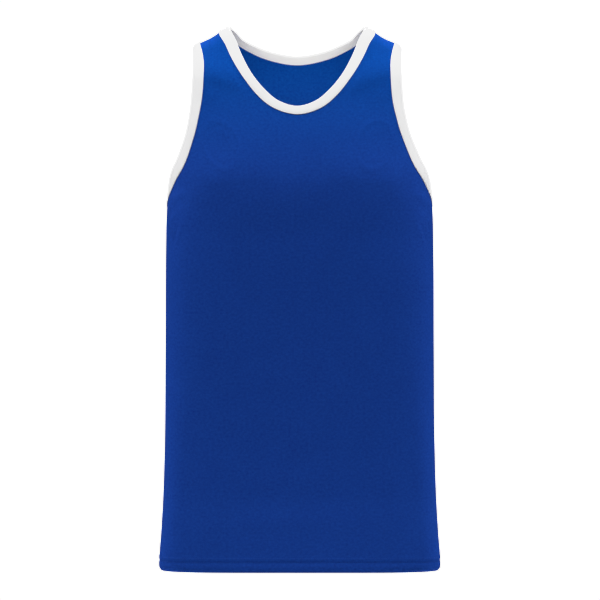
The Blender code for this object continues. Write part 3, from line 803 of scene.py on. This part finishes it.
def tapeSection(width):  # from the fold, and out from the panel's outer face
    crown, wall = tape["crown"], panel["wall"]
    groove = width - tape["groove"]
    roll, line = tape["roll"], crown - tape["rollSink"]
    outer = [
        (0.00025, -0.0001), (0.0008, 0.00035), (0.0016, crown - 0.0002), (roll * 0.6, crown),
        (roll - 0.0006, crown), (roll, line), (roll + 0.0006, crown), (width * 0.55, crown + 0.00006),
        (groove - 0.0016, crown + 0.00004), (groove - 0.0006, crown - 0.00006),
        (groove, crown - tape["grooveSink"]), (groove + 0.0006, crown - 0.00006),
        (width - 0.0003, crown - 0.00012), (width, crown - 0.0003), (width, 0.00010)]
    middle = [
        (width * 0.6, 0.00010), (0.0030, 0.00010), (0.0012, -0.00010), (0.00105, -wall / 2),
        (0.0012, -wall + 0.0001), (0.0030, -wall - 0.0002), (width * 0.6, -wall - 0.0002)]
    lining = [
        (width, -wall - 0.00022), (width, -wall - 0.0007), (width - 0.0004, -wall - 0.0010),
        (width * 0.5, -wall - tape["liningDepth"]), (roll, -wall - 0.0010),
        (0.0020, -wall - 0.00075), (0.0008, -wall - 0.00035), (0.0, -wall * 0.6)]
    return outer + middle + lining


def tapeRows(edge, side, section):
    distances = sorted({0.0} | {d for d, _ in section})
    lines = boundLines(edge, side, distances, tape["step"])
    at = dict(zip(distances, lines))
    return np.stack([liftedPoint(at[distance], lift) for distance, lift in section], axis=1)


def makeTape(name, edge, mirror, node):
    width = tape[edge]
    section = tapeSection(width)
    fronts = tapeRows(edge, front, section)
    backs = tapeRows(edge, back, section)
    flip = (-1.0, 1.0, 1.0)
    if edge == "neck":  # half a loop, and its other half mirrored
        loop = leaned(np.concatenate([fronts, backs[::-1][1:]]), -1.0)
        loop[0, :, 0] = 0.0
        loop[-1, :, 0] = 0.0
        loop = leaned(np.concatenate([loop, loop[1:-1][::-1] * flip]), 1.0)
    else:
        loop = np.concatenate([fronts, backs[::-1][1:-1]])
        if mirror:
            loop = leaned(leaned(loop, -1.0) * flip, 1.0)
    rows, columns = loop.shape[:2]
    measured = loop[:, tape["measured"]]
    run = runAlong(np.concatenate([measured, measured[:1]]))
    faces = gridFaces(columns, rows + 1, closedColumns=True)
    faces = [tuple(k % (rows * columns) for k in f) for f in faces]
    flat = np.array([(run[r], section[k][0] + (width if k > columns // 2 else 0.0)) for r in range(rows)
                     for k in range(columns)])
    piece = newPiece(name, loop.reshape(-1, 3), faces, whiteKnit, flat)
    turnOut(piece)
    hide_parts(node)
    halves = (1, -1) if edge == "neck" else (-1,) if mirror else (1,)
    stitches = tapeStitches(name + "_stitches", edge, width, halves)
    print("binding", name, round(float(run[-1]), 3), "m long")
    return piece


thread = {
    "radius": 0.00022,
    "sides": 5,
    "gap": 0.0007,  # between two stitches of a row
    "hemPitch": 0.0030,
    "tapePitch": 0.0028,
    "proud": 0.00006,  # of the face it is sewn on
    "seamClear": 0.0006,  # a hem's row ends this far from the side seams
    "bow": ((0.0, -0.9, 0.4), (0.2, 0.35, 1.0), (0.8, 0.35, 1.0), (1.0, -0.9, 0.4)),  # along, height, girth
    "blue": ((0.0070, 0.0560, 0.345), 0.6, 0.10),  # colour, roughness, specular
    "white": ((0.80, 0.80, 0.81), 0.6, 0.20)}


def layStitches(name, rows, material):  # one bowed thread between each pair of ends
    starts, ends, normals = (np.concatenate(part) for part in zip(*rows))
    beside = np.cross(normals, ends - starts)
    beside /= np.linalg.norm(beside, axis=1)[:, None]
    turns = np.arange(thread["sides"]) * 2 * math.pi / thread["sides"]
    outward = [math.cos(t) * beside + math.sin(t) * normals for t in turns]
    rings = []
    for share, height, girth in thread["bow"]:
        centre = starts + share * (ends - starts) + height * thread["radius"] * normals
        rings += [centre + girth * thread["radius"] * way for way in outward]
    sides, count = thread["sides"], len(rings)
    single = gridFaces(sides, len(thread["bow"]), closedColumns=True)
    single += [tuple(range(sides))[::-1], tuple(range(count - sides, count))]
    faces = [tuple(k + count * n for k in face) for n in range(len(starts)) for face in single]
    piece = newPiece(name, np.stack(rings, axis=1).reshape(-1, 3), faces, material)
    print("stitches", name, len(starts))
    return piece


def stitchesAlong(cut, lift, pitch, face):  # face is 1 on the outside of the cloth and -1 inside
    normals = formNormal(cut) * face
    points = liftedPoint(cut, lift) + thread["proud"] * normals
    run = runAlong(points)
    count = round(run[-1] / pitch)
    middle = (np.arange(count) + 0.5) * run[-1] / count
    half = (pitch - thread["gap"]) / 2

    def take(at, rows):
        return np.stack([np.interp(at, run, rows[:, k]) for k in range(3)], axis=1)

    return take(middle - half, points), take(middle + half, points), take(middle, normals)


def hemStitches(name, side):
    rows = []
    for up, _, _ in panel["hemRows"]:
        down = hemRun[side] - side * up
        reach = sideSeam(down)[0] - thread["seamClear"]
        across = np.linspace(-reach, reach, sampling["hem"])
        cut = np.stack([across, np.full_like(across, down)], axis=1)
        inner = creaseHeight(cut, side) - panel["turnIn"] - panel["wall"]
        for lift, face in ((panelLift(cut, side), 1), (inner, -1)):
            rows.append(stitchesAlong(cut, lift, thread["hemPitch"], face))
    return layStitches(name, rows, blueThread)


def tapeStitches(name, edge, width, halves):
    outer = tape["crown"] - tape["grooveSink"]
    inner = -panel["wall"] - tape["liningDepth"]
    rows = []
    for side in (front, back):
        line = boundLines(edge, side, (0.0, width - tape["groove"]), sampling["stitches"])[1]
        for half in halves:
            for lift, face in ((outer, 1), (inner, -1)):
                rows.append(stitchesAlong(line * (half, 1.0), lift, thread["tapePitch"], face))
    return layStitches(name, rows, whiteThread)


allowance = {
    "width": 0.0056,
    "root": 0.0001,  # from the seam
    "clear": 0.0002,  # inside the panel
    "thick": 0.0012,
    "rootShare": 0.8,  # of the thickness, at the seam
    "rounded": 0.0006,
    "step": 0.0060,
    "aboveHem": 0.0006,
    "underTape": 0.0205,  # below the armhole's edge, where its binding ends
    "shoulder": (0.1150, 0.1325, 5),  # across, between the two bindings, and stations
    "pitch": 0.0026,  # of the overlock threads, and how they lie
    "lean": 0.0013,
    "threadEnds": (0.0008, 0.0005)}  # from the seam, from the outer edge


def seamLines():  # stations along each sewn seam, and which way its allowance is laid on the back
    first = abs(seamBottom(back)[1]) + allowance["underTape"]
    last = abs(hemRun[back]) - panel["hem"] - allowance["aboveHem"]
    downs = np.arange(first, last, allowance["step"])
    side = np.stack([sideSeam(downs), downs], axis=1)
    across = np.linspace(*allowance["shoulder"])
    shoulder = np.stack([across, np.full_like(across, allowance["root"])], axis=1)
    return {"side_seam": (side, np.array((-1.0, 0.0))), "shoulder_seam": (shoulder, np.array((0.0, 1.0)))}


def makeAllowances():
    root, wide, clear, thick = (allowance[key] for key in ("root", "width", "clear", "thick"))
    rounded = wide - allowance["rounded"]
    section = ((root, clear), (rounded, clear), (wide, clear + thick / 2), (rounded, clear + thick),
               (root, clear + thick * allowance["rootShare"]))
    pieces, rows = [], []
    for seam, (line, towards) in seamLines().items():
        for label, mirror in (("left", 1.0), ("right", -1.0)):
            columns, flat = [], []
            for reach, inside in section:
                cut = (line + reach * towards) * (mirror, 1.0)
                columns.append(liftedPoint(cut, panelLift(cut, back) - panel["wall"] - inside))
                flat.append(cut)
            points = np.stack(columns, axis=1).reshape(-1, 3)
            flat = np.stack(flat, axis=1).reshape(-1, 2)
            count = len(section)
            faces = gridFaces(count, len(line), closedColumns=True)
            faces += [tuple(range(count))[::-1], tuple(range(count * (len(line) - 1), count * len(line)))]
            piece = newPiece(seam + "_" + label, points, faces, blueKnit, flat)
            turnOut(piece)
            pieces.append(piece)
            rows.append(overlockRow(line, towards, mirror, clear + thick))
    print("seam allowances", len(pieces))
    pieces.append(layStitches("overlock_threads", rows, blueThread))
    return pieces


def overlockRow(line, towards, mirror, inside):  # slanted threads over an allowance
    run = runAlong(line)
    at = np.arange(0.5, run[-1] / allowance["pitch"]) * allowance["pitch"]
    base = np.stack([np.interp(at, run, line[:, k]) for k in range(2)], axis=1)
    along = np.array((towards[1], -towards[0])) * allowance["lean"]
    inner, outer = allowance["threadEnds"]
    ends = []
    for reach, shift in ((inner, 0.0), (allowance["width"] - outer, 1.0)):
        cut = (base + reach * towards + shift * along) * (mirror, 1.0)
        ends.append(liftedPoint(cut, panelLift(cut, back) - panel["wall"] - inside - thread["proud"]))
    return ends[0], ends[1], -formNormal(base * (mirror, 1.0))


studio = {
    "distance": 4.8,
    "frameSide": 0.864,  # what the picture spans at the side seams
    "eye": (0.0004, -0.3773),
    "sensor": 36.0,
    "clipEnd": 60.0,
    "topSun": (1.75, 75.0, 20.0),  # strength, elevation, softness in degrees
    "sideSun": (2.05, 37.0, 50.0),
    "backSun": (1.20, 50.0, 60.0),
    "softbox": (3.1, 0.5, 0.70, 0.35),  # watts, side, height and distance before the neck
    "softboxAim": (0.0, -0.10, -0.15),
    "neckLamp": (0.170, 0.16, 0.08, -0.045, -0.09),  # watts, width, height, and its place in the neck
    "neckLampAim": (0.10, 0.02),  # behind the middle, and below the lamp
    "lampColour": (1.0, 0.97, 0.90),
    "surround": 0.05,
    "backdrop": 1.66,
    "tones": (  # light, and what is printed
        (0.46, 0.46), (0.634, 0.715), (0.76, 0.805), (0.85, 0.850), (1.27, 0.889), (1.50, 0.905)),
    "whitest": 1.60,
    "floorDepth": 1.25,
    "floorSide": 5.0,
    "floorLook": ((0.8, 0.8, 0.8), 0.9, 0.2)}  # colour, roughness, specular


def addSun(name, azimuth, strength, elevation, softness):
    light = bpy.data.lights.new(name, "SUN")
    light.energy = strength
    light.angle = math.radians(softness)
    lamp = bpy.data.objects.new(name, light)
    lamp.rotation_euler = (math.radians(90.0 - elevation), 0.0, math.radians(azimuth))
    bpy.context.scene.collection.objects.link(lamp)


def addSoftLight(name, watts, size, place, target):
    light = bpy.data.lights.new(name, "AREA")
    light.energy = watts
    light.shape = "RECTANGLE"
    light.size, light.size_y = size
    lamp = bpy.data.objects.new(name, light)
    lamp.location = place
    lamp.rotation_euler = (Vector(place) - Vector(target)).to_track_quat("Z", "Y").to_euler()
    lamp.visible_camera = False
    bpy.context.scene.collection.objects.link(lamp)
    return lamp


def setLights():
    for name, azimuth, sun in (("overhead light", 0.0, "topSun"), ("left light", -90.0, "sideSun"),
                               ("right light", 90.0, "sideSun"), ("back light", 180.0, "backSun")):
        addSun(name, azimuth, *studio[sun])
    watts, side, height, distance = studio["softbox"]
    addSoftLight("softbox", watts, (side, side), (0.0, -distance, height), studio["softboxAim"])
    watts, width, height, depth, level = studio["neckLamp"]
    behind, below = studio["neckLampAim"]
    aim = (0.0, behind, level - below)
    lamp = addSoftLight("neck lamp", watts, (width, height), (0.0, depth, level), aim)
    lamp.data.color = studio["lampColour"]


def toneWhites(view):  # keeps detail in the whites and leaves the blues alone
    view.use_curve_mapping = True
    mapping = view.curve_mapping
    mapping.white_level = (studio["whitest"],) * 3
    curve = mapping.curves[3]  # of the three colours together
    for light, shown in studio["tones"]:
        curve.points.new(light / studio["whitest"], shown)
    for point in curve.points:
        point.handle_type = "VECTOR"
    mapping.update()


def setCamera():
    scene = bpy.context.scene
    scene.view_settings.view_transform = "Standard"
    toneWhites(scene.view_settings)
    data = bpy.data.cameras.new("camera")
    data.sensor_width = studio["sensor"]
    data.lens = studio["sensor"] * studio["distance"] / studio["frameSide"]
    data.clip_end = studio["clipEnd"]
    camera = bpy.data.objects.new("camera", data)
    camera.location = (studio["eye"][0], -studio["distance"], studio["eye"][1])
    camera.rotation_euler = (math.radians(90.0), 0.0, 0.0)
    scene.collection.objects.link(camera)
    scene.camera = camera


def setBackdrop():  # bright where the camera sees it, faint as a light
    world = bpy.data.worlds.new("studio")
    bpy.context.scene.world = world
    world.use_nodes = True
    tree = world.node_tree
    background = tree.nodes["Background"]
    background.inputs["Color"].default_value = (1.0, 1.0, 1.0, 1.0)
    rays = tree.nodes.new("ShaderNodeLightPath")
    amount = mathNode(tree, "MULTIPLY_ADD", rays.outputs["Is Camera Ray"],
                      studio["backdrop"] - studio["surround"], studio["surround"])
    tree.links.new(amount, background.inputs["Strength"])


def floorMaterial():  # clear from below, so the garment shows there too
    material = plainMaterial("pale floor", *studio["floorLook"])
    tree = material.node_tree
    clear = tree.nodes.new("ShaderNodeBsdfTransparent")
    face = tree.nodes.new("ShaderNodeNewGeometry")
    mix = tree.nodes.new("ShaderNodeMixShader")
    tree.links.new(face.outputs["Backfacing"], mix.inputs["Fac"])
    tree.links.new(tree.nodes["Principled BSDF"].outputs["BSDF"], mix.inputs[1])
    tree.links.new(clear.outputs["BSDF"], mix.inputs[2])
    tree.links.new(mix.outputs["Shader"], tree.nodes["Material Output"].inputs["Surface"])
    return material


def setFloor():
    half = studio["floorSide"] / 2
    level = cadBox[0][2] - studio["floorDepth"]
    corners = [(-half, -half, level), (half, -half, level), (half, half, level), (-half, half, level)]
    data = bpy.data.meshes.new("studio_floor")
    data.from_pydata(corners, [], [(0, 1, 2, 3)])
    data.materials.append(floorMaterial())
    floor = bpy.data.objects.new("studio_floor", data)
    bpy.context.scene.collection.objects.link(floor)


setCamera()
setLights()
setBackdrop()
setFloor()
print("studio ready")

knitFace = knitGroup()
blueKnit = clothMaterial("royal blue knit", bodyLook)
whiteKnit = clothMaterial("white binding knit", tapeLook)
blueThread = plainMaterial("blue thread", *thread["blue"])
whiteThread = plainMaterial("white thread", *thread["white"])

sewnBack = [hemStitches("back_hem_stitches", back)] + makeAllowances()
makePanel("front_cloth", front, blueKnit, "front_panel", [hemStitches("front_hem_stitches", front)])
makePanel("back_cloth", back, blueKnit, "back_panel", sewnBack)
makeTape("neck_tape", "neck", False, "neck_binding")
makeTape("armhole_tape_left", "arm", False, "armhole_binding_left")
makeTape("armhole_tape_right", "arm", True, "armhole_binding_right")
